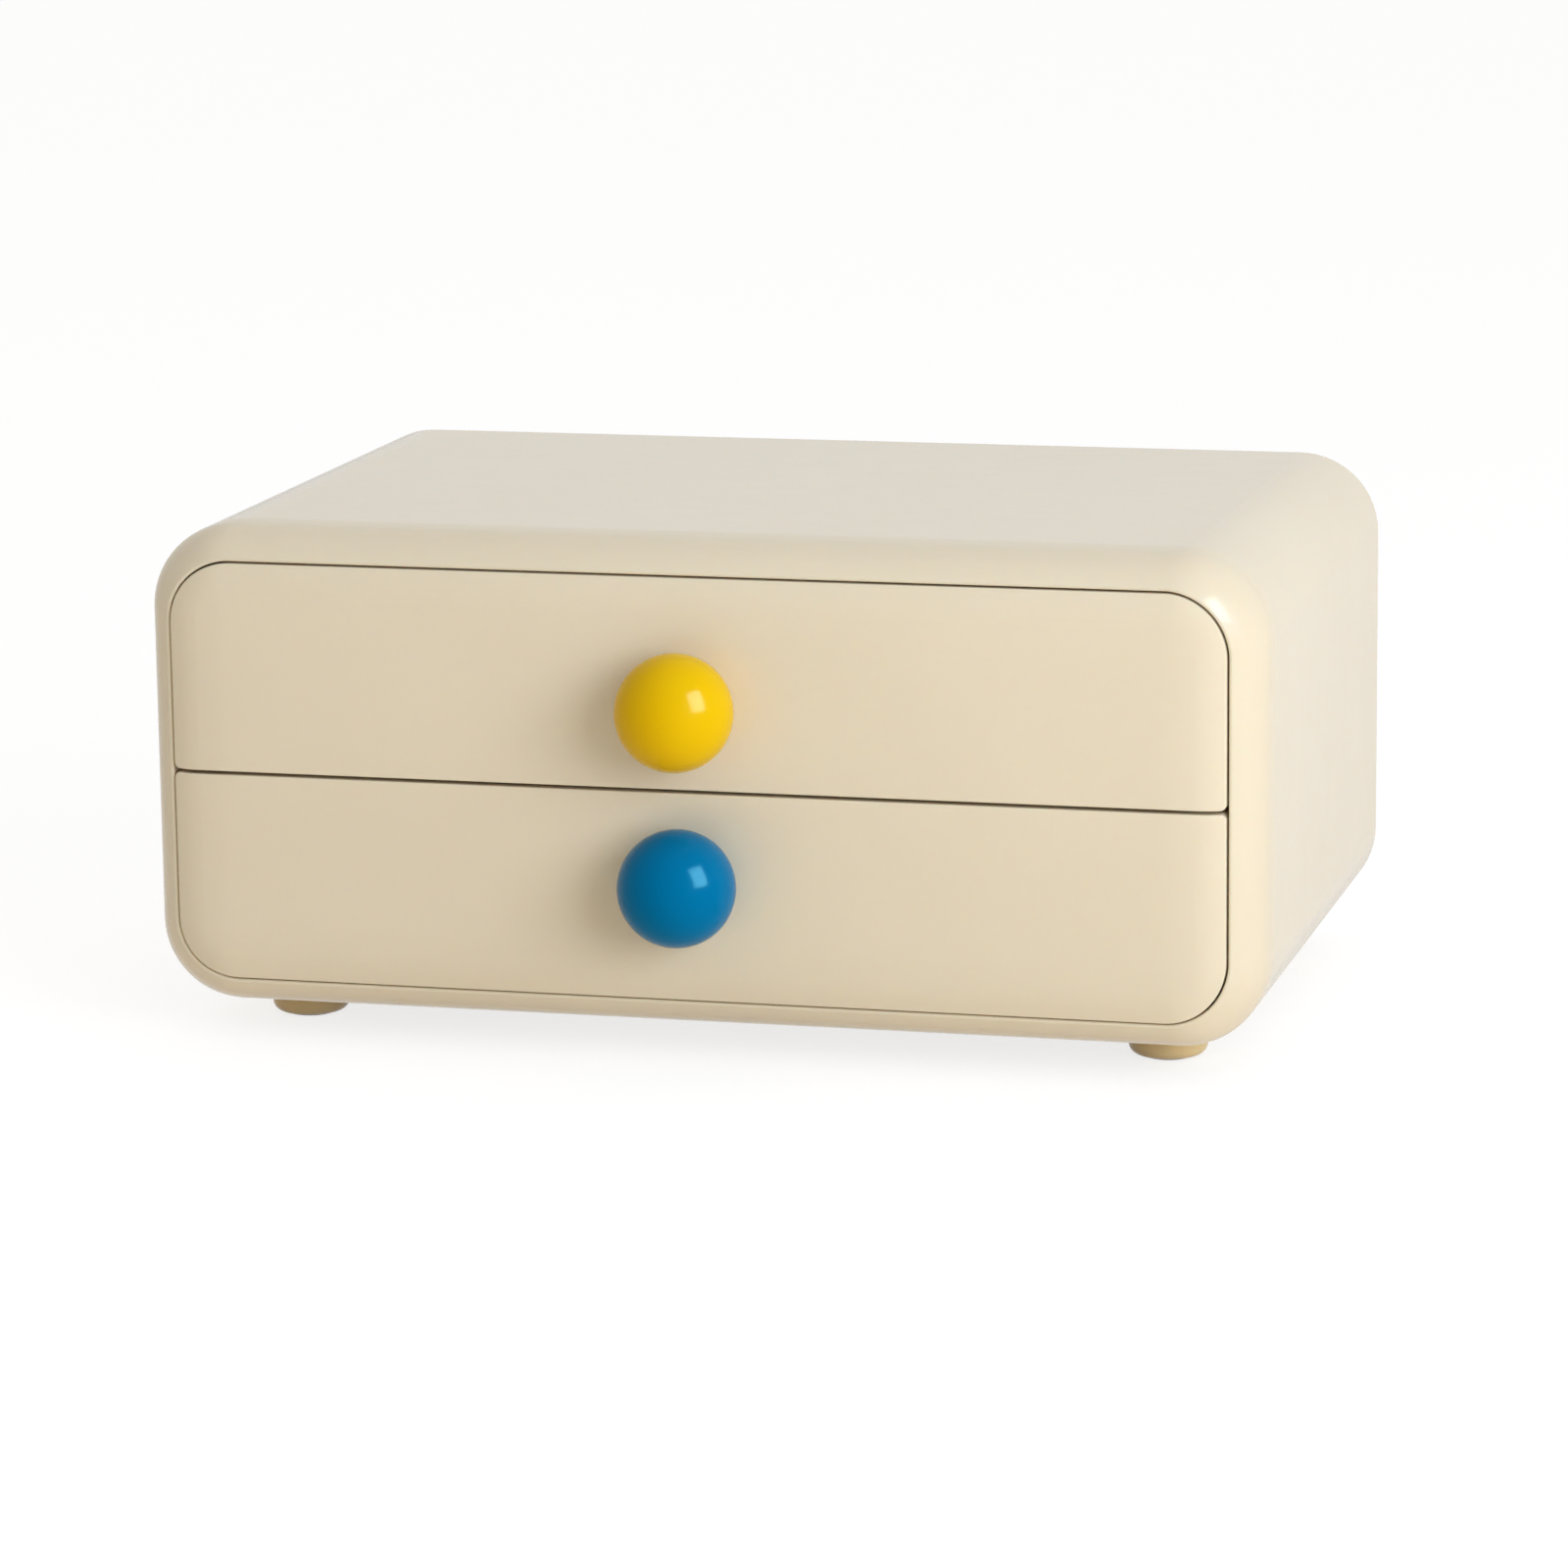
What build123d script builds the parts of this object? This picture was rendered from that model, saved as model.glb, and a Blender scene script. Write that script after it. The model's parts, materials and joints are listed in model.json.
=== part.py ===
from build123d import *
import os

os.makedirs("parts", exist_ok=True)

# Makeup case: a moulded sleeve that carries two drawers on side runners.
# Millimetres. +X is right, -Y is the front and +Z is up.
# The origin is on the table, under the middle of the whole object, knobs included.

# Case
case_width = 260.0
case_depth = 166.7
case_height = 111.7
edge_radius = 19.2  # the four long edges, front to back
front_round = 14.1  # round-over of the front, shared by the rim and the drawer fronts
back_round = 2.8
wall = 3.5

# Opening and drawer fronts
rim_width = 7.0  # from the side of the case to the opening
opening_radius = 14.6
reveal = 0.4  # gap between the rim and the drawer fronts
seam_gap = 0.8  # gap between the two drawer fronts
seam_corner = 1.4  # corners of the fronts at the seam
lip_round = 0.5  # edges of the rim and the fronts along the gaps
front_depth = 15.0
front_skin = 3.0

# Drawer trays
tray_side_gap = 7.2  # from the side of the opening to the tray
tray_wall = 2.5
tray_lift = 2.2  # from the floor of its bay to the tray
tray_headroom = 4.0  # from the tray to the roof of its bay
tray_corner = 4.0
tray_base_round = 4.0
tray_lip = 0.8
flange_inset = 1.0  # from the edge of the front to the edge of the tray's flange
flange_clearance = 1.5  # from the flange to the shelf and the runners behind it
closing_gap = 0.3  # from the closed tray to the ribs that stop it

# Side ribs of the trays, and the runners that carry them
rib_height = 3.0
rib_reach = 2.5
catch_reach = 5.0
catch_length = 10.0
slide_clearance = 0.3
side_clearance = 0.6
runner_height = 12.0
stop_length = 15.1  # front end of a runner, too narrow for the catch

# Divider shelf, and the ledges inside the sleeve
shelf_thickness = 3.0
ledge_height = 2.0
ledge_reach = 4.0
seat_clearance = 0.2

# Back panel
panel_thickness = 3.0
panel_inset = 1.0
panel_clearance = 0.3
panel_sink = 1.2  # how deep the screw heads sit in the panel
boss_offset = 4.8  # from the inner wall to the middle of a screw boss
boss_radius = 4.2
boss_length = 12.0
stop_depth = 4.0  # ribs that stop the closing drawers
stop_width = 5.0
stop_height = 22.0
stop_spread = 120.0

# Knobs
ball_radius = 13.4
ball_standoff = 9.8  # from the drawer front to the middle of the ball
knob_level = 20.0  # from the seam to the middle of the ball
insert_radius = 4.0
insert_length = 11.0
knob_screw_radius = 2.0
knob_screw_head = 3.7
knob_screw_head_height = 2.4
knob_screw_engagement = 9.0
knob_boss_radius = 6.5
washer_radius = 5.0
washer_thickness = 0.8

# Screws of the drawer fronts, the back panel and the feet
screw_radius = 1.5
screw_head = 2.9
screw_head_height = 1.9
screw_engagement = 9.0
screw_spread = 150.0
screw_boss_radius = 3.8
thread_clearance = 0.05
hole_clearance = 0.2
head_clearance = 0.3
bore_spare = 1.0  # depth of a blind hole beyond what is in it

# Feet
foot_radius = 9.1
foot_height = 7.8
foot_round = 2.5
foot_inset_x = 27.0  # from the sides of the case to the middle of a foot
foot_inset_y = 36.2  # from the front and the back to the middle of a foot
foot_screw_floor = 3.0  # foot left above the head of its screw
foot_boss_height = 3.4
foot_boss_radius = 4.2
pad_margin = 0.8
pad_recess = 1.0
pad_proud = 0.4
pad_clearance = 0.1

# Heights
case_bottom = pad_proud + foot_height
seam_z = case_bottom + case_height / 2

# Depths, counted from the flat of the front towards the back
knob_reach = ball_standoff + ball_radius
front_y = (knob_reach - case_depth) / 2
flange_rear = front_depth + tray_wall
rim_depth = flange_rear + flange_clearance
panel_inner = case_depth - panel_inset - panel_thickness
tray_rear = panel_inner - stop_depth - closing_gap
rib_rear = tray_rear - tray_corner
bay_length = panel_inner - rim_depth
travel = rib_rear - catch_length - slide_clearance - rim_depth - stop_length

# Widths and heights of the opening and of what fills it
opening_width = case_width - 2 * rim_width
opening_height = case_height - 2 * rim_width
fronts_width = opening_width - 2 * reveal
fronts_height = opening_height - 2 * reveal
front_radius = opening_radius - reveal
cavity_width = case_width - 2 * wall
cavity_height = case_height - 2 * wall
cavity_radius = edge_radius - wall
tray_width = opening_width - 2 * tray_side_gap
bay_height = (opening_height - shelf_thickness) / 2
tray_height = bay_height - tray_lift - tray_headroom
runner_inner = tray_width / 2 + side_clearance
groove_height = rib_height + 2 * slide_clearance

levels = {"upper": 1, "lower": -1}
sides = {"left": -1, "right": 1}
rows = {"front": foot_inset_y, "rear": case_depth - foot_inset_y}
touch = 0.01  # slack for picking faces and edges by their place
overlap = 1.0  # how far a rib or boss is rooted in its wall


def facing(depth, z=seam_z, x=0.0):
    """A plane that faces the front, with its local X to the right and its local Y up."""
    return Plane(origin=(x, front_y + depth, z), x_dir=(1, 0, 0), z_dir=(0, -1, 0))


def backing(depth, z=seam_z, x=0.0):
    """A plane that faces the back, with its local Y up."""
    return Plane(origin=(x, front_y + depth, z), x_dir=(-1, 0, 0), z_dir=(0, 1, 0))


def under(x, y, z):
    """A plane that faces down."""
    return Plane(origin=(x, y, z), x_dir=(1, 0, 0), z_dir=(0, 0, -1))


def bay_floor(level):
    """Height of the floor that a drawer runs above: the shelf, or the lower edge of the opening."""
    if level > 0:
        return seam_z + shelf_thickness / 2
    return seam_z - opening_height / 2


def runner_middle(level):
    """Height of the middle of a drawer's side ribs and runners."""
    return bay_floor(level) + tray_lift + tray_height / 2


def inside_opening(shape):
    """True for a face that lies within the outline of the opening."""
    box = shape.bounding_box()
    reach_x = max(-box.min.X, box.max.X)
    reach_z = max(seam_z - box.min.Z, box.max.Z - seam_z)
    return reach_x < opening_width / 2 + touch and reach_z < opening_height / 2 + touch


def front_lip(walls):
    """Front edges of walls that run from front to back."""
    limit = front_y + front_depth / 3
    return [edge for face in walls for edge in face.edges() if edge.center().Y < limit]


def front_outline(level, inset):
    """Outline of one drawer front, drawn in from its edges by inset."""
    width = fronts_width - 2 * inset
    height = fronts_height - 2 * inset
    with BuildSketch() as outline:
        RectangleRounded(width, height, front_radius - inset)
        with Locations((0, level * (height / 2 + seam_gap / 2 + inset))):
            Rectangle(width, height, mode=Mode.INTERSECT)
        seam_ends = outline.vertices().sort_by(lambda vertex: abs(vertex.Y))[:2]
        fillet(seam_ends, seam_corner)
    return outline.sketch


def pan_head_screw(radius, head_radius, head_height, length):
    """A screw with a crossed pan head on local +Z and its shank along local -Z."""
    slot_width = head_radius / 4
    slot_depth = head_height / 2
    head_round = head_height / 2
    tip_chamfer = radius / 3
    with BuildPart() as screw:
        Cylinder(head_radius, head_height, align=(Align.CENTER, Align.CENTER, Align.MIN))
        fillet(screw.edges().sort_by(Axis.Z)[-1], head_round)
        Cylinder(radius, length, align=(Align.CENTER, Align.CENTER, Align.MAX))
        chamfer(screw.edges().sort_by(Axis.Z)[0], tip_chamfer)
        with BuildSketch(Plane.XY.offset(head_height)):
            Rectangle(head_radius, slot_width)
            Rectangle(slot_width, head_radius)
        extrude(amount=-slot_depth, mode=Mode.SUBTRACT)
    return screw.part


# The whole outer form: one rounded block that the rim and the drawer fronts are cut from
with BuildPart() as pillow:
    with BuildSketch(facing(0)):
        RectangleRounded(case_width, case_height, edge_radius)
    extrude(amount=-case_depth)
    fillet(pillow.faces().sort_by(Axis.Y)[0].edges(), min(front_round, edge_radius - lip_round))
    fillet(pillow.faces().sort_by(Axis.Y)[-1].edges(), min(back_round, wall - lip_round))

# Ledges inside the sleeve, above and below the shelf and each runner
ledge_x = cavity_width / 2 + (overlap - ledge_reach) / 2
shelf_ledge = (shelf_thickness + ledge_height) / 2 + seat_clearance
runner_ledge = (runner_height + ledge_height) / 2
ledge_heights = [-shelf_ledge, shelf_ledge]
for level in levels.values():
    middle = runner_middle(level) - seam_z
    ledge_heights += [middle - runner_ledge, middle + runner_ledge]
ledge_places = [(side * ledge_x, z) for side in sides.values() for z in ledge_heights]

# Bosses for the screws of the back panel, on the side walls beyond the ledges of the runners
boss_x = cavity_width / 2 - boss_offset
boss_rise = runner_height / 2 + ledge_height + boss_radius
boss_web = boss_offset + overlap
boss_heights = [runner_middle(level) + level * boss_rise - seam_z for level in levels.values()]
boss_places = [(side * boss_x, z) for side in sides.values() for z in boss_heights]
web_places = [(side * (boss_x + boss_web / 2), z) for side in sides.values() for z in boss_heights]

# Places of the feet
foot_x = case_width / 2 - foot_inset_x
foot_places = [(side * foot_x, front_y + depth) for side in sides.values() for depth in rows.values()]

# Sleeve: top, bottom and sides in one moulding, with the rim at the front and open at the back
with BuildPart() as case_sleeve:
    add(pillow.part)
    with BuildSketch(facing(rim_depth)):
        RectangleRounded(cavity_width, cavity_height, cavity_radius)
    extrude(amount=-case_depth, mode=Mode.SUBTRACT)
    with BuildSketch(facing(-overlap)):
        RectangleRounded(opening_width, opening_height, opening_radius)
    extrude(amount=-rim_depth - 2 * overlap, mode=Mode.SUBTRACT)
    fillet(front_lip(case_sleeve.faces().filter_by(inside_opening)), lip_round)

    with BuildSketch(facing(rim_depth)):
        with Locations(ledge_places):
            Rectangle(ledge_reach + overlap, ledge_height)
    extrude(amount=-bay_length)

    with BuildSketch(facing(panel_inner)):
        with Locations(boss_places):
            Circle(boss_radius)
        with Locations(web_places):
            Rectangle(boss_web, 2 * boss_radius)
    extrude(amount=boss_length)
    with Locations([backing(panel_inner, seam_z + z, x) for x, z in boss_places]):
        Hole(screw_radius + thread_clearance, depth=screw_engagement + bore_spare)

    with BuildSketch(Plane.XY.offset(case_bottom + wall - overlap)):
        with Locations(foot_places):
            Circle(foot_boss_radius)
    extrude(amount=foot_boss_height + overlap)
    with Locations([(x, y, case_bottom + wall + foot_boss_height) for x, y in foot_places]):
        Hole(screw_radius + thread_clearance, depth=wall + foot_boss_height)
case_sleeve.part.label = "case_sleeve"
export_step(case_sleeve.part, "parts/case_sleeve.step")

# Divider shelf between the two drawers, slid in between its ledges
with BuildPart() as divider_shelf:
    with BuildSketch(facing(rim_depth)):
        Rectangle(cavity_width - 2 * seat_clearance, shelf_thickness)
    extrude(amount=-bay_length)
divider_shelf.part.label = "divider_shelf"
export_step(divider_shelf.part, "parts/divider_shelf.step")

# Back panel, with ribs that stop the closing drawers
with BuildPart() as back_panel:
    with BuildSketch(facing(panel_inner)):
        RectangleRounded(
            cavity_width - 2 * panel_clearance,
            cavity_height - 2 * panel_clearance,
            cavity_radius - panel_clearance,
        )
    extrude(amount=-panel_thickness)
    with BuildSketch(facing(panel_inner)):
        with Locations([(0, runner_middle(level) - seam_z) for level in levels.values()]):
            with GridLocations(stop_spread, 0, 2, 1):
                Rectangle(stop_width, stop_height)
    extrude(amount=stop_depth)
    with Locations([backing(case_depth - panel_inset, seam_z + z, x) for x, z in boss_places]):
        CounterBoreHole(
            screw_radius + hole_clearance, screw_head + head_clearance, panel_sink, panel_thickness
        )
back_panel.part.label = "back_panel"
export_step(back_panel.part, "parts/back_panel.step")

panel_screw = pan_head_screw(
    screw_radius, screw_head, screw_head_height, panel_thickness - panel_sink + screw_engagement
)
panel_head_seat = case_depth - panel_inset - panel_sink
with BuildPart() as back_panel_screws:
    with Locations([backing(panel_head_seat, seam_z + z, x) for x, z in boss_places]):
        add(panel_screw)
back_panel_screws.part.label = "back_panel_screws"
export_step(back_panel_screws.part, "parts/back_panel_screws.step")

# Runners: a groove for the tray's rib, deeper behind the stop so that the catch can travel there
runner_width = cavity_width / 2 - runner_inner
rib_groove = rib_reach + side_clearance
catch_groove = catch_reach + side_clearance
for level_name, level in levels.items():
    for side_name, side in sides.items():
        runner_z = runner_middle(level)
        tray_side = side * tray_width / 2
        with BuildPart() as runner:
            with BuildSketch(facing(rim_depth, runner_z, side * (cavity_width - runner_width) / 2)):
                Rectangle(runner_width, runner_height)
            extrude(amount=-bay_length)
            with BuildSketch(facing(rim_depth, runner_z, tray_side)):
                Rectangle(2 * rib_groove, groove_height)
            extrude(amount=-bay_length, mode=Mode.SUBTRACT)
            with BuildSketch(facing(rim_depth + stop_length, runner_z, tray_side)):
                Rectangle(2 * catch_groove, groove_height)
            extrude(amount=-bay_length, mode=Mode.SUBTRACT)
        runner.part.label = f"{level_name}_{side_name}_runner"
        export_step(runner.part, f"parts/{level_name}_{side_name}_runner.step")

# Feet, each with a rubber pad let into its underside
pad_radius = foot_radius - foot_round - pad_margin
head_pocket = foot_height - foot_screw_floor
for row_name, depth in rows.items():
    for side_name, side in sides.items():
        place = (side * foot_x, front_y + depth)
        with BuildPart() as foot:
            with BuildSketch(Plane.XY.offset(pad_proud)):
                with Locations(place):
                    Circle(foot_radius)
            extrude(amount=foot_height)
            fillet(foot.edges().sort_by(Axis.Z)[0], foot_round)
            with Locations(under(*place, pad_proud)):
                CounterBoreHole(
                    screw_radius + hole_clearance, screw_head + head_clearance, head_pocket, foot_height
                )
                Hole(pad_radius + pad_clearance, depth=pad_recess)
        foot.part.label = f"{row_name}_{side_name}_foot"
        export_step(foot.part, f"parts/{row_name}_{side_name}_foot.step")

        with BuildPart() as foot_pad:
            with BuildSketch():
                with Locations(place):
                    Circle(pad_radius)
            extrude(amount=pad_proud + pad_recess)
        foot_pad.part.label = f"{row_name}_{side_name}_foot_pad"
        export_step(foot_pad.part, f"parts/{row_name}_{side_name}_foot_pad.step")

foot_screw = pan_head_screw(
    screw_radius, screw_head, screw_head_height, foot_screw_floor + wall + foot_boss_height - bore_spare
)
with BuildPart() as foot_screws:
    with Locations([under(x, y, pad_proud + head_pocket) for x, y in foot_places]):
        add(foot_screw)
foot_screws.part.label = "foot_screws"
export_step(foot_screws.part, "parts/foot_screws.step")

# Screws, washer and insert of a drawer, drawn once for both
front_screw = pan_head_screw(screw_radius, screw_head, screw_head_height, tray_wall + screw_engagement)
knob_bolt = pan_head_screw(
    knob_screw_radius,
    knob_screw_head,
    knob_screw_head_height,
    washer_thickness + flange_rear + knob_screw_engagement,
)
knob_hole = knob_screw_radius + hole_clearance

screw_places = [-screw_spread / 2, screw_spread / 2]
tray_length = tray_rear - front_depth
tray_y = front_y + front_depth + tray_length / 2
rib_x = (tray_width - tray_wall) / 2
rib_places = [(side * rib_x, 0) for side in sides.values()]

for level_name, level in levels.items():
    knob_z = seam_z + level * knob_level
    tray_bottom = bay_floor(level) + tray_lift
    rib_z = runner_middle(level)
    outline = front_outline(level, 0)
    hollow_outline = front_outline(level, front_skin)
    flange_outline = front_outline(level, flange_inset)

    # Drawer front: its share of the rounded front, hollow behind, with bosses for its screws
    with BuildPart() as drawer_front:
        add(pillow.part)
        with BuildSketch(facing(-overlap)):
            add(outline)
        extrude(amount=-front_depth - overlap, mode=Mode.INTERSECT)
        side_walls = drawer_front.faces().filter_by(lambda face: face.bounding_box().size.Y > front_depth / 2)
        fillet(front_lip(side_walls), lip_round)
        with BuildSketch(facing(front_depth)):
            add(hollow_outline)
        extrude(amount=front_depth - front_skin, mode=Mode.SUBTRACT)
        with BuildSketch(facing(front_depth, knob_z)):
            Circle(knob_boss_radius)
            with Locations([(x, 0) for x in screw_places]):
                Circle(screw_boss_radius)
        extrude(amount=front_depth - front_skin + overlap)
        with Locations(backing(front_depth, knob_z)):
            Hole(knob_hole, depth=front_depth)
        with Locations([backing(front_depth, knob_z, x) for x in screw_places]):
            Hole(screw_radius + thread_clearance, depth=screw_engagement + bore_spare)
    drawer_front.part.label = f"{level_name}_drawer_front"
    export_step(drawer_front.part, f"parts/{level_name}_drawer_front.step")

    # Space inside the tray
    with BuildPart() as pocket:
        with BuildSketch(Plane.XY.offset(tray_bottom + tray_wall)):
            with Locations((0, tray_y)):
                RectangleRounded(
                    tray_width - 2 * tray_wall, tray_length - 2 * tray_wall, tray_corner - tray_wall
                )
        extrude(amount=tray_height)
        fillet(pocket.faces().sort_by(Axis.Z)[0].edges(), tray_base_round - tray_wall)

    # Tray: an open box with a flange that closes the back of the front, and ribs along its sides
    with BuildPart() as drawer_tray:
        with BuildSketch(Plane.XY.offset(tray_bottom)):
            with Locations((0, tray_y)):
                Rectangle(tray_width, tray_length)
        extrude(amount=tray_height)
        fillet(drawer_tray.edges().filter_by(Axis.Z).group_by(Axis.Y)[-1], tray_corner)
        fillet(drawer_tray.faces().sort_by(Axis.Z)[0].edges().sort_by(Axis.Y)[1:], tray_base_round)
        add(pocket.part, mode=Mode.SUBTRACT)
        fillet(drawer_tray.faces().sort_by(Axis.Z)[-1].edges().sort_by(Axis.Y)[1:], tray_lip)
        with BuildSketch(facing(front_depth)):
            add(flange_outline)
        extrude(amount=-tray_wall)
        with BuildSketch(facing(front_depth, rib_z)):
            with Locations(rib_places):
                Rectangle(tray_wall + 2 * rib_reach, rib_height)
        extrude(amount=front_depth - rib_rear)
        with BuildSketch(facing(rib_rear, rib_z)):
            with Locations(rib_places):
                Rectangle(tray_wall + 2 * catch_reach, rib_height)
        extrude(amount=catch_length)
        add(pocket.part, mode=Mode.SUBTRACT)
        with Locations(backing(flange_rear, knob_z)):
            Hole(knob_hole, depth=tray_wall)
        with Locations([backing(flange_rear, knob_z, x) for x in screw_places]):
            Hole(screw_radius + hole_clearance, depth=tray_wall)
    drawer_tray.part.label = f"{level_name}_drawer_tray"
    export_step(drawer_tray.part, f"parts/{level_name}_drawer_tray.step")

    with BuildPart() as front_screws:
        with Locations([backing(flange_rear, knob_z, x) for x in screw_places]):
            add(front_screw)
    front_screws.part.label = f"{level_name}_front_screws"
    export_step(front_screws.part, f"parts/{level_name}_front_screws.step")

    # Knob: a ball with a flat seat on the drawer front, bored for its insert
    with BuildPart() as knob:
        with Locations(facing(-ball_standoff, knob_z)):
            Sphere(ball_radius)
        split(bisect_by=facing(0, knob_z), keep=Keep.TOP)
        with Locations(backing(0, knob_z)):
            Hole(insert_radius + thread_clearance, depth=insert_length + bore_spare)
    knob.part.label = f"{level_name}_knob"
    export_step(knob.part, f"parts/{level_name}_knob.step")

    with BuildPart() as knob_insert:
        with BuildSketch(facing(0, knob_z)):
            Circle(insert_radius)
            Circle(knob_screw_radius + thread_clearance, mode=Mode.SUBTRACT)
        extrude(amount=insert_length)
    knob_insert.part.label = f"{level_name}_knob_insert"
    export_step(knob_insert.part, f"parts/{level_name}_knob_insert.step")

    with BuildPart() as knob_washer:
        with BuildSketch(backing(flange_rear, knob_z)):
            Circle(washer_radius)
            Circle(knob_hole, mode=Mode.SUBTRACT)
        extrude(amount=washer_thickness)
    knob_washer.part.label = f"{level_name}_knob_washer"
    export_step(knob_washer.part, f"parts/{level_name}_knob_washer.step")

    with BuildPart() as knob_screw:
        with Locations(backing(flange_rear + washer_thickness, knob_z)):
            add(knob_bolt)
    knob_screw.part.label = f"{level_name}_knob_screw"
    export_step(knob_screw.part, f"parts/{level_name}_knob_screw.step")

print(f"each drawer travels {travel:.1f} mm")
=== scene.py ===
import json
from math import pi

import bpy
from mathutils import Matrix, Vector


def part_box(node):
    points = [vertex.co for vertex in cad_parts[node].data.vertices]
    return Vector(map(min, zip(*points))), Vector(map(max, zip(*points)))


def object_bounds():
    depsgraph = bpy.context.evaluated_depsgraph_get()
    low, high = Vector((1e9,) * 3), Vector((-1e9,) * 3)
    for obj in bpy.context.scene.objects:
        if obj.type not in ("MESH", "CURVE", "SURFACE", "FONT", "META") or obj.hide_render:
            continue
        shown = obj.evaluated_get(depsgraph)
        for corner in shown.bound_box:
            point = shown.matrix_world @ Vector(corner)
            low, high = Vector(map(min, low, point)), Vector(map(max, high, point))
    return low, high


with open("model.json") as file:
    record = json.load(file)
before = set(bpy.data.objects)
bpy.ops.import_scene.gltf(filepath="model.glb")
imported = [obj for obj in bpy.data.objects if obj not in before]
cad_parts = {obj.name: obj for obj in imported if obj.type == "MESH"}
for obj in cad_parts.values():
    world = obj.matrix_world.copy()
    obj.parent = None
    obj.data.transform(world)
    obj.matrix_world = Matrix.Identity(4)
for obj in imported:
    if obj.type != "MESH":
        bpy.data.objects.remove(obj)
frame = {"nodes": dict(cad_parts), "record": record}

# Makeup case: cream moulded plastic with two drawers, a yellow and a blue ball knob.
# Metres. +X is right, -Y is the front and +Z is up, as in the frame.

cad_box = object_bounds()
nodes = frame["nodes"]
scene = bpy.context.scene
case_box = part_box("case_sleeve")
case_front, case_bottom = case_box[0].y, case_box[0].z
case_half_x = case_box[1].x
case_half_z = (case_box[1].z - case_box[0].z) / 2
case_mid_z = case_bottom + case_half_z

# How far from the rounded edges the flat faces begin and cease to fall, and by how much
fall_start, fall_end = 0.021, 0.006
fall_height = 0.0011

# Polished mouldings: roughness where they are bright and where they are rubbed, and index of refraction
polished = 0.13
case_rubbed, knob_rubbed = 0.17, 0.16
case_ior, knob_ior = 1.40, 1.18

# Light inside the cream plastic: its share, and how far its red, green and blue go
cream_glow = 0.3
glow_depth = 0.003
glow_reach = (1.0, 0.6, 0.35)

# Grain of the satin mouldings, per metre and in depth, and the roughness of the metals
satin_grain, satin_depth = 1600, 0.00003
runner_grain, runner_depth = 900, 0.00001
brass_roughness = (0.24, 0.38)
zinc_roughness = (0.26, 0.42)

# Colours, linear
cream = (0.800, 0.702, 0.534, 1)
cream_deep = (0.786, 0.686, 0.517, 1)
satin_cream = (0.760, 0.660, 0.500, 1)
satin_deep = (0.740, 0.638, 0.479, 1)
# Feet: a deeper, yellower cream than the case, partly the feet's own moulding and partly painted shade from
# under the case
foot_cream = (0.77, 0.60, 0.33, 1)
foot_deep_and_shade = (0.75, 0.58, 0.31, 1)
runner_white = (0.76, 0.74, 0.68, 1)
runner_grey = (0.69, 0.67, 0.61, 1)
yellow = (0.72, 0.439, 0.002, 1)
yellow_deep = (0.69, 0.410, 0.002, 1)
yellow_gleam = (1.00, 0.77, 0.60, 1)
blue = (0.000, 0.144, 0.318, 1)
blue_deep = (0.000, 0.133, 0.297, 1)
blue_gleam = (0.36, 1.00, 1.00, 1)
white = (1, 1, 1, 1)
brass_pale = (0.72, 0.50, 0.20, 1)
brass_brown = (0.56, 0.36, 0.13, 1)
zinc_pale = (0.62, 0.63, 0.65, 1)
zinc_dark = (0.46, 0.46, 0.45, 1)
rubber_black = (0.030, 0.028, 0.027, 1)
rubber_grey = (0.060, 0.057, 0.053, 1)


def new_material(name):
    """An empty finish with its principled shader and the object coordinates that its patterns read."""
    material = bpy.data.materials.new(name)
    material.use_nodes = True
    tree = material.node_tree
    shader = tree.nodes["Principled BSDF"]
    place = tree.nodes.new("ShaderNodeTexCoord")
    return material, tree, shader, place.outputs["Object"]


def noise(tree, place, scale, detail):
    """Soft irregular pattern, scale per metre."""
    node = tree.nodes.new("ShaderNodeTexNoise")
    node.inputs["Scale"].default_value = scale
    node.inputs["Detail"].default_value = detail
    tree.links.new(place, node.inputs["Vector"])
    return node.outputs["Fac"]


def stretched(tree, place, scale):
    """Object coordinates stretched by a factor along each axis."""
    node = tree.nodes.new("ShaderNodeMapping")
    node.inputs["Scale"].default_value = scale
    tree.links.new(place, node.inputs["Vector"])
    return node.outputs["Vector"]


def spread(tree, value, span, limits):
    """A value whose span, from low to high, is mapped to new limits and held there."""
    node = tree.nodes.new("ShaderNodeMapRange")
    for end, old, new in zip(("Min", "Max"), span, limits):
        node.inputs["From " + end].default_value = old
        node.inputs["To " + end].default_value = new
    tree.links.new(value, node.inputs["Value"])
    return node.outputs["Result"]


def combine(tree, operation, first, second):
    """Two values joined by a math operation."""
    node = tree.nodes.new("ShaderNodeMath")
    node.operation = operation
    for socket, value in zip(node.inputs, (first, second)):
        if isinstance(value, (int, float)):
            socket.default_value = value
        else:
            tree.links.new(value, socket)
    return node.outputs["Value"]


def shade(tree, value, span, colours):
    """A colour that runs from the first to the second as the value goes through its span."""
    node = tree.nodes.new("ShaderNodeValToRGB")
    for element, position, colour in zip(node.color_ramp.elements, span, colours):
        element.position = position
        element.color = colour
    tree.links.new(value, node.inputs["Fac"])
    return node.outputs["Color"]


def by_ray(tree, factor, first, second):
    """The first shader where the factor is 0 and the second where it is 1."""
    node = tree.nodes.new("ShaderNodeMixShader")
    tree.links.new(factor, node.inputs["Fac"])
    tree.links.new(first, node.inputs[1])
    tree.links.new(second, node.inputs[2])
    return node.outputs["Shader"]


def bump(tree, surface, height, depth):
    """Relief under a shader or under a finer relief, with its depth in metres."""
    node = tree.nodes.new("ShaderNodeBump")
    node.inputs["Distance"].default_value = depth
    tree.links.new(height, node.inputs["Height"])
    tree.links.new(node.outputs["Normal"], surface.inputs["Normal"])
    return node


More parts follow.
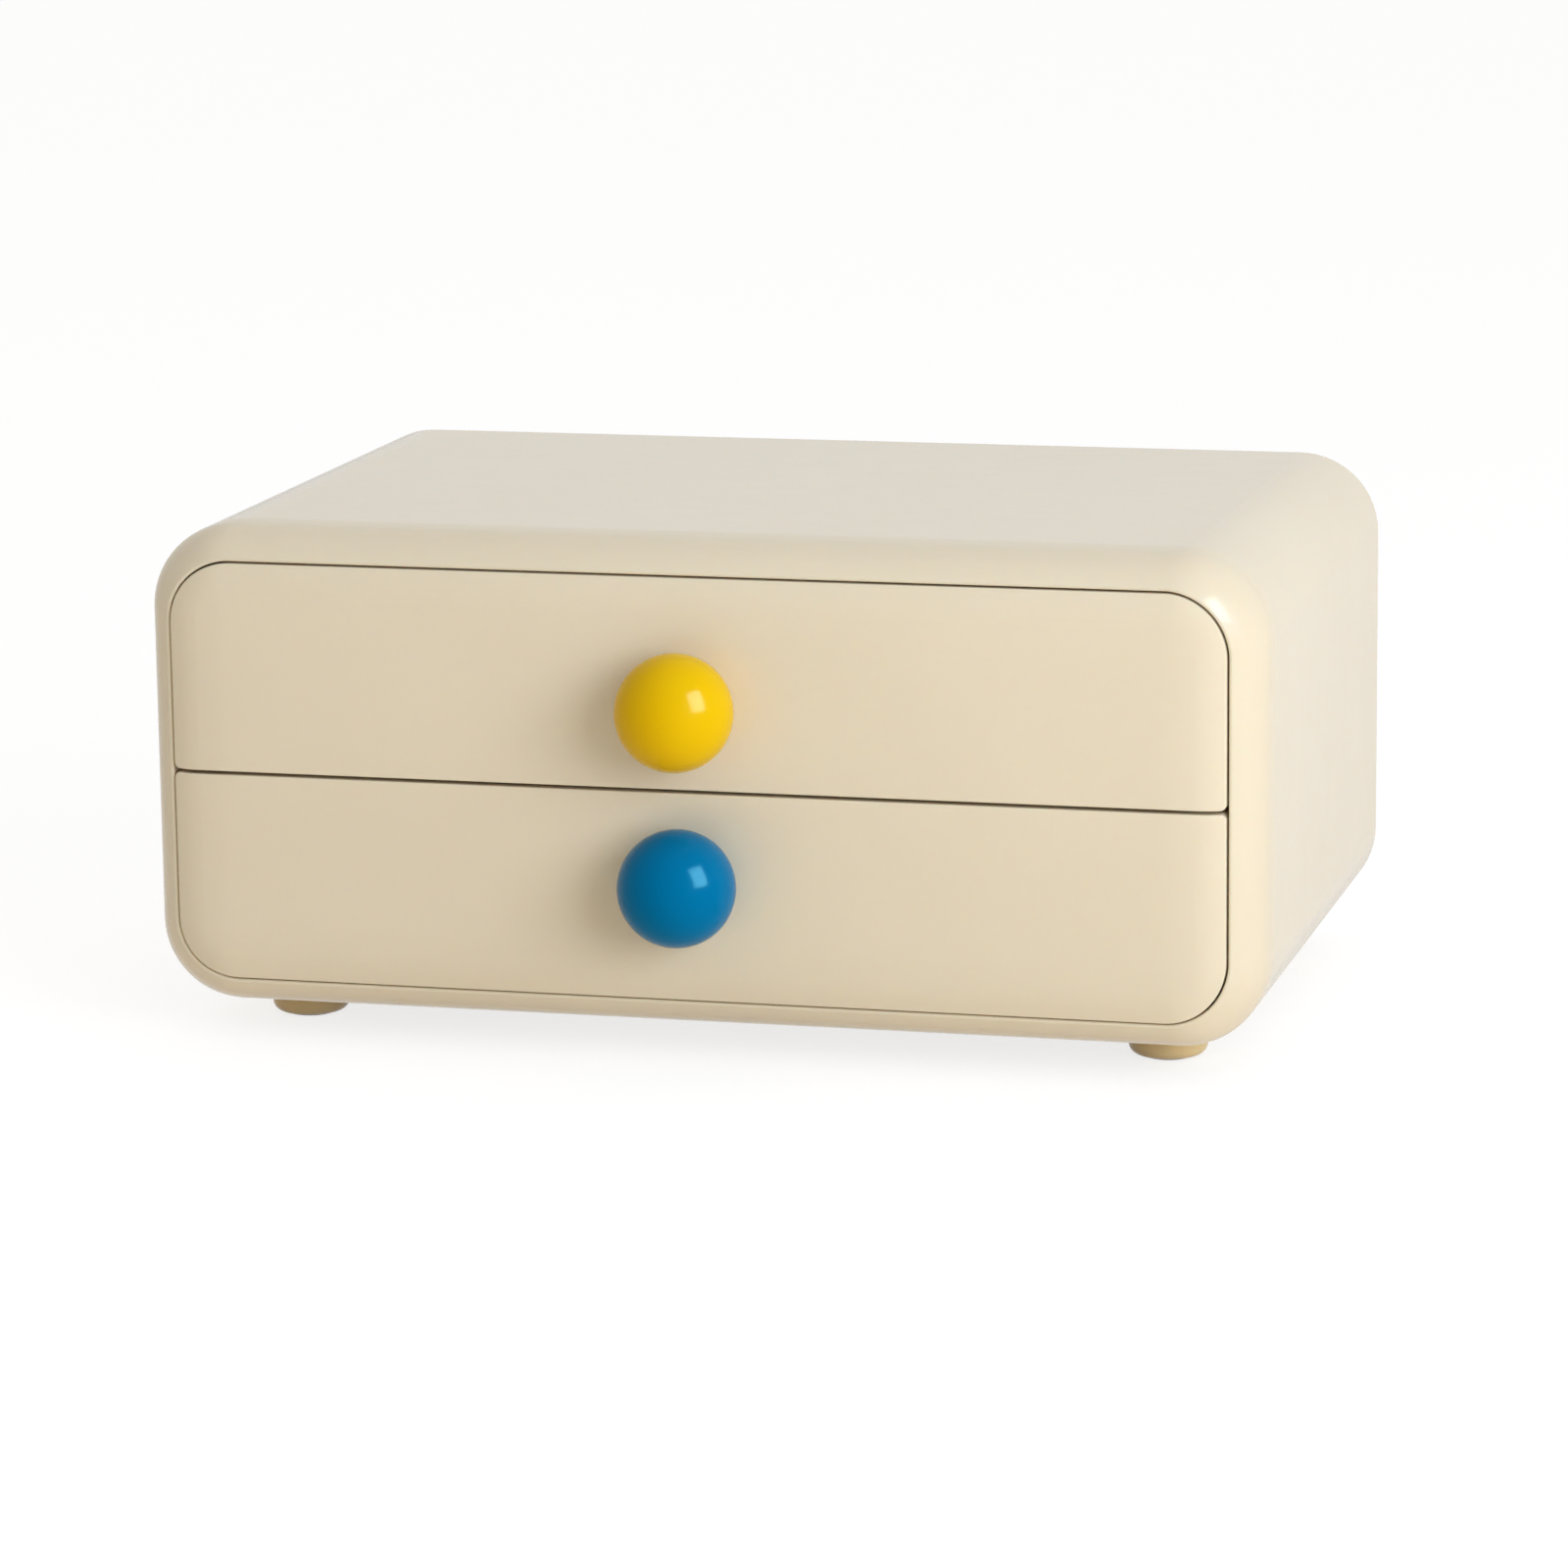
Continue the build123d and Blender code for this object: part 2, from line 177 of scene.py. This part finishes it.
def soft_edges(tree, place, peel):
    """A slight fall of the flat faces towards the rounded edges of the case, under its orange peel."""
    apart = tree.nodes.new("ShaderNodeSeparateXYZ")
    tree.links.new(place, apart.inputs["Vector"])
    across = combine(tree, "ABSOLUTE", apart.outputs["X"], 0)
    upward = combine(tree, "ABSOLUTE", combine(tree, "SUBTRACT", apart.outputs["Z"], case_mid_z), 0)
    inward = combine(tree, "SUBTRACT", apart.outputs["Y"], case_front)
    height = 0
    for distance, span in (
        (across, (case_half_x - fall_start, case_half_x - fall_end)),
        (upward, (case_half_z - fall_start, case_half_z - fall_end)),
        (inward, (fall_start, fall_end)),
    ):
        fall = spread(tree, distance, span, (0, -1))
        fall.node.interpolation_type = "SMOOTHSTEP"
        height = combine(tree, "ADD", height, fall)
    bump(tree, peel, height, fall_height)


def gloss_plastic(name, colours, rubbed, ior, gleam, glow=0.0, softened=False):
    """Polished moulding: faint colour flow, rubbed patches, hairline scuffs, a trace of orange peel, and
    light that goes some way into the plastic."""
    flow_scale, flow_span = 14, (0.35, 0.65)
    patch_scale, patch_span = 55, (0.40, 0.70)
    hair_stretch, hair_span, hair_dulling = (40, 900, 900), (0.66, 0.74), 0.05
    peel_scale, peel_depth = 420, 0.000004
    material, tree, shader, place = new_material(name)
    flow = noise(tree, place, flow_scale, detail=3)
    tree.links.new(shade(tree, flow, flow_span, colours), shader.inputs["Base Color"])
    patches = spread(tree, noise(tree, place, patch_scale, detail=4), patch_span, (polished, rubbed))
    hairs = noise(tree, stretched(tree, place, hair_stretch), 1, detail=2)
    scuffs = spread(tree, hairs, hair_span, (0, hair_dulling))
    tree.links.new(combine(tree, "ADD", patches, scuffs), shader.inputs["Roughness"])
    peel = bump(tree, shader, noise(tree, place, peel_scale, detail=1), peel_depth)
    if softened:
        soft_edges(tree, place, peel)
    shader.inputs["IOR"].default_value = ior
    shader.inputs["Specular Tint"].default_value = gleam
    shader.inputs["Subsurface Weight"].default_value = glow
    shader.inputs["Subsurface Scale"].default_value = glow_depth
    shader.inputs["Subsurface Radius"].default_value = glow_reach
    return material


def satin_plastic(name, colours, grain_scale, grain_depth):
    """Moulding from a textured tool: fine even grain, dull sheen."""
    flow_scale, flow_span = 22, (0.35, 0.65)
    sheen_scale, sheen_span, sheen_roughness = 90, (0.3, 0.7), (0.36, 0.50)
    satin_ior = 1.5
    material, tree, shader, place = new_material(name)
    flow = noise(tree, place, flow_scale, detail=3)
    tree.links.new(shade(tree, flow, flow_span, colours), shader.inputs["Base Color"])
    sheen = noise(tree, place, sheen_scale, detail=3)
    tree.links.new(spread(tree, sheen, sheen_span, sheen_roughness), shader.inputs["Roughness"])
    bump(tree, shader, noise(tree, place, grain_scale, detail=2), grain_depth)
    shader.inputs["IOR"].default_value = satin_ior
    return material


def metal(name, colours, roughness):
    """Turned or plated metal with fine tool marks and dull spots."""
    spot_scale, spot_span = 700, (0.4, 0.65)
    dull_scale, dull_span = 1500, (0.3, 0.7)
    mark_scale, mark_stretch, mark_depth = 2200, (1, 6, 1), 0.00001
    material, tree, shader, place = new_material(name)
    spots = noise(tree, place, spot_scale, detail=3)
    tree.links.new(shade(tree, spots, spot_span, colours), shader.inputs["Base Color"])
    dulling = noise(tree, place, dull_scale, detail=2)
    tree.links.new(spread(tree, dulling, dull_span, roughness), shader.inputs["Roughness"])
    marks = noise(tree, stretched(tree, place, mark_stretch), mark_scale, detail=1)
    bump(tree, shader, marks, mark_depth)
    shader.inputs["Metallic"].default_value = 1
    return material


def rubber(name, colours):
    """Dull rubber with a fine grain and pale dust."""
    dust_scale, dust_span = 300, (0.45, 0.75)
    dull_scale, dull_span, dull_roughness = 500, (0.3, 0.7), (0.75, 0.9)
    grain_scale, grain_depth = 2500, 0.00003
    material, tree, shader, place = new_material(name)
    dust = noise(tree, place, dust_scale, detail=4)
    tree.links.new(shade(tree, dust, dust_span, colours), shader.inputs["Base Color"])
    dulling = noise(tree, place, dull_scale, detail=2)
    tree.links.new(spread(tree, dulling, dull_span, dull_roughness), shader.inputs["Roughness"])
    bump(tree, shader, noise(tree, place, grain_scale, detail=2), grain_depth)
    return material


# A finish for each material slot of the record
finishes = {
    "cream_gloss": gloss_plastic(
        "cream_gloss_plastic", (cream, cream_deep), case_rubbed, case_ior, white, cream_glow, softened=True
    ),
    # The feet's finish holds painted shade: its cream is darker and yellower than the case's
    "foot_cream": gloss_plastic(
        "foot_gloss_painted_shade", (foot_cream, foot_deep_and_shade), case_rubbed, case_ior, white, cream_glow
    ),
    "cream_satin": satin_plastic(
        "cream_satin_plastic", (satin_cream, satin_deep), satin_grain, satin_depth
    ),
    "runner_white": satin_plastic(
        "runner_white_plastic", (runner_white, runner_grey), runner_grain, runner_depth
    ),
    "yellow_gloss": gloss_plastic(
        "yellow_gloss_plastic", (yellow, yellow_deep), knob_rubbed, knob_ior, yellow_gleam
    ),
    "blue_gloss": gloss_plastic("blue_gloss_plastic", (blue, blue_deep), knob_rubbed, knob_ior, blue_gleam),
    "brass": metal("turned_brass", (brass_pale, brass_brown), brass_roughness),
    "zinc_steel": metal("zinc_plated_steel", (zinc_pale, zinc_dark), zinc_roughness),
    "pad_rubber": rubber("pad_rubber", (rubber_black, rubber_grey)),
}
for subpart in frame["record"]["subparts"]:
    for slot in nodes[subpart["node"]].material_slots:
        slot.material = finishes[subpart["material_slot"]]

# Floor: pale for the light that bounces off it, and white with a soft shadow where it is seen
floor_size = 30.0
floor_warm = (0.98, 0.89, 0.76, 1)
shadow_depth = (0.30, 0.30, 0.30, 1)
floor_glow = 0.78
bpy.ops.object.select_all(action="DESELECT")
bpy.ops.mesh.primitive_plane_add(size=floor_size, location=(0, 0, 0))
floor = bpy.context.active_object
floor.name = "floor"

floor_material = bpy.data.materials.new("pale_floor")
floor_material.use_nodes = True
floor_tree = floor_material.node_tree
bounce = floor_tree.nodes.new("ShaderNodeBsdfDiffuse")
bounce.inputs["Color"].default_value = floor_warm
shadowed = floor_tree.nodes.new("ShaderNodeBsdfDiffuse")
shadowed.inputs["Color"].default_value = shadow_depth
glow = floor_tree.nodes.new("ShaderNodeEmission")
glow.inputs["Strength"].default_value = floor_glow
seen = floor_tree.nodes.new("ShaderNodeAddShader")
floor_tree.links.new(shadowed.outputs["BSDF"], seen.inputs[0])
floor_tree.links.new(glow.outputs["Emission"], seen.inputs[1])
path = floor_tree.nodes.new("ShaderNodeLightPath")
surface = by_ray(floor_tree, path.outputs["Is Camera Ray"], bounce.outputs["BSDF"], seen.outputs["Shader"])
floor_tree.links.new(surface, floor_tree.nodes["Material Output"].inputs["Surface"])
floor.data.materials.append(floor_material)
floor.visible_glossy = False

# World: warm fill for matt light, a pale sweep with a dim front for reflections, white where it is seen
sides = {
    "right": (1, 0, 0),
    "left": (-1, 0, 0),
    "front": (0, -1, 0),
    "back": (0, 1, 0),
    "above": (0, 0, 1),
    "below": (0, 0, -1),
}
fill_levels = {"right": 0.14, "left": 0.38, "front": 0.20, "back": 0.95, "above": 0.85}
mirror_levels = {"right": 0.15, "left": 0.60, "front": 0.02, "back": 0.88, "above": 0.35, "below": 0.55}
fill_warmth = (1.04, 1.03, 1.00, 1)
world = bpy.data.worlds.new("studio")
scene.world = world
world.use_nodes = True
world_tree = world.node_tree
outward = world_tree.nodes.new("ShaderNodeTexCoord").outputs["Generated"]


def from_side(side, level):
    """Light that is strongest from one side and fades to nothing at right angles to it."""
    node = world_tree.nodes.new("ShaderNodeVectorMath")
    node.operation = "DOT_PRODUCT"
    node.inputs[1].default_value = sides[side]
    world_tree.links.new(outward, node.inputs[0])
    reach = combine(world_tree, "MAXIMUM", node.outputs["Value"], 0)
    return combine(world_tree, "MULTIPLY", combine(world_tree, "MULTIPLY", reach, reach), level)


def sky(levels, colour):
    """A background of one colour whose strength is the sum of its sides."""
    strength = 0
    for side, level in levels.items():
        strength = combine(world_tree, "ADD", strength, from_side(side, level))
    node = world_tree.nodes.new("ShaderNodeBackground")
    node.inputs["Color"].default_value = colour
    world_tree.links.new(strength, node.inputs["Strength"])
    return node.outputs["Background"]


path = world_tree.nodes.new("ShaderNodeLightPath")
is_mirror = combine(
    world_tree, "MAXIMUM", path.outputs["Is Glossy Ray"], path.outputs["Is Transmission Ray"]
)
backdrop = world_tree.nodes["Background"]
backdrop.inputs["Color"].default_value = white
backdrop.inputs["Strength"].default_value = 1
lit = by_ray(world_tree, is_mirror, sky(fill_levels, fill_warmth), sky(mirror_levels, white))
lit = by_ray(world_tree, path.outputs["Is Camera Ray"], lit, backdrop.outputs["Background"])
world_tree.links.new(lit, world_tree.nodes["World Output"].inputs["Surface"])

# Softboxes: directions from the middle of the case, widths and heights, and brightness per area
case_middle = (cad_box[0] + cad_box[1]) / 2
lamp_distance = 1.3
gleam_ahead = 0.02  # how far the gleam stands before the window
window_direction, window_size = (0.79, -0.41, 0.46), (0.62, 0.80)
corner_direction, corner_size = (0.68, -0.42, 0.58), (0.30, 0.40)
front_direction, front_size = (0.70, -0.66, 0.26), (0.70, 0.70)
side_direction, side_size = (0.93, -0.22, 0.29), (0.50, 0.60)
window_colour = (0.76, 0.92, 1.08)
front_colour = (0.89, 0.945, 1.05)
side_colour = (0.80, 1.00, 0.95)
window_level, gleam_level, corner_level = 1.65, 34.0, 9.0
front_level, side_level = 5.8, 5.0
knobs = ("upper_knob", "lower_knob")


def softbox(name, direction, size, colour, level, in_gloss, in_matt, ahead=0.0):
    """A rectangular lamp that faces the middle of the case, and may stand ahead of the others."""
    width, height = size
    lamp = bpy.data.lights.new(name, "AREA")
    lamp.shape = "RECTANGLE"
    lamp.size = width
    lamp.size_y = height
    lamp.color = colour
    lamp.energy = level * pi * width * height
    stand = bpy.data.objects.new(name, lamp)
    scene.collection.objects.link(stand)
    towards = Vector(direction).normalized()
    stand.location = case_middle + towards * (lamp_distance - ahead)
    stand.rotation_euler = towards.to_track_quat("Z", "Y").to_euler()
    stand.visible_glossy = in_gloss
    stand.visible_diffuse = in_matt
    return stand


def light_alone(stand, lit_nodes):
    """Let a lamp light only the named nodes."""
    receivers = bpy.data.collections.new(stand.name + "_receivers")
    for node in lit_nodes:
        receivers.objects.link(nodes[node])
    stand.light_linking.receiver_collection = receivers


# A window that lights the case and shows in its gloss, and brighter gleams of it for knobs and sleeve
softbox("window_softbox", window_direction, window_size, window_colour, window_level, True, True)
gleam = softbox(
    "window_gleam", window_direction, window_size, window_colour, gleam_level, True, False, gleam_ahead
)
corner = softbox("corner_gleam", corner_direction, corner_size, window_colour, corner_level, True, False)

# Matt panels, one nearer to the front and one at the side of the knobs
softbox("front_panel", front_direction, front_size, front_colour, front_level, False, True)
knob_panel = softbox("knob_panel", side_direction, side_size, side_colour, side_level, False, True)

light_alone(gleam, knobs)
light_alone(knob_panel, knobs)
light_alone(corner, ("case_sleeve",))

# Camera, fitted to the photograph's view: angles in radians, lens and sensor in millimetres
camera_yaw, camera_pitch, camera_roll = 0.257, 0.203, -0.012
camera_right, camera_ahead, camera_above = 0.35976, 1.28457, 0.33174
camera_lens, camera_sensor = 139.04, 36.0
camera = bpy.data.cameras.new("camera")
camera.lens = camera_lens
camera.sensor_width = camera_sensor
camera_object = bpy.data.objects.new("camera", camera)
scene.collection.objects.link(camera_object)
camera_turn = (
    Matrix.Rotation(camera_yaw, 3, "Z")
    @ Matrix.Rotation(pi / 2 - camera_pitch, 3, "X")
    @ Matrix.Rotation(camera_roll, 3, "Z")
)
camera_object.location = (camera_right, case_front - camera_ahead, case_bottom + camera_above)
camera_object.rotation_euler = camera_turn.to_euler()
scene.camera = camera_object

scene.view_settings.view_transform = "Standard"
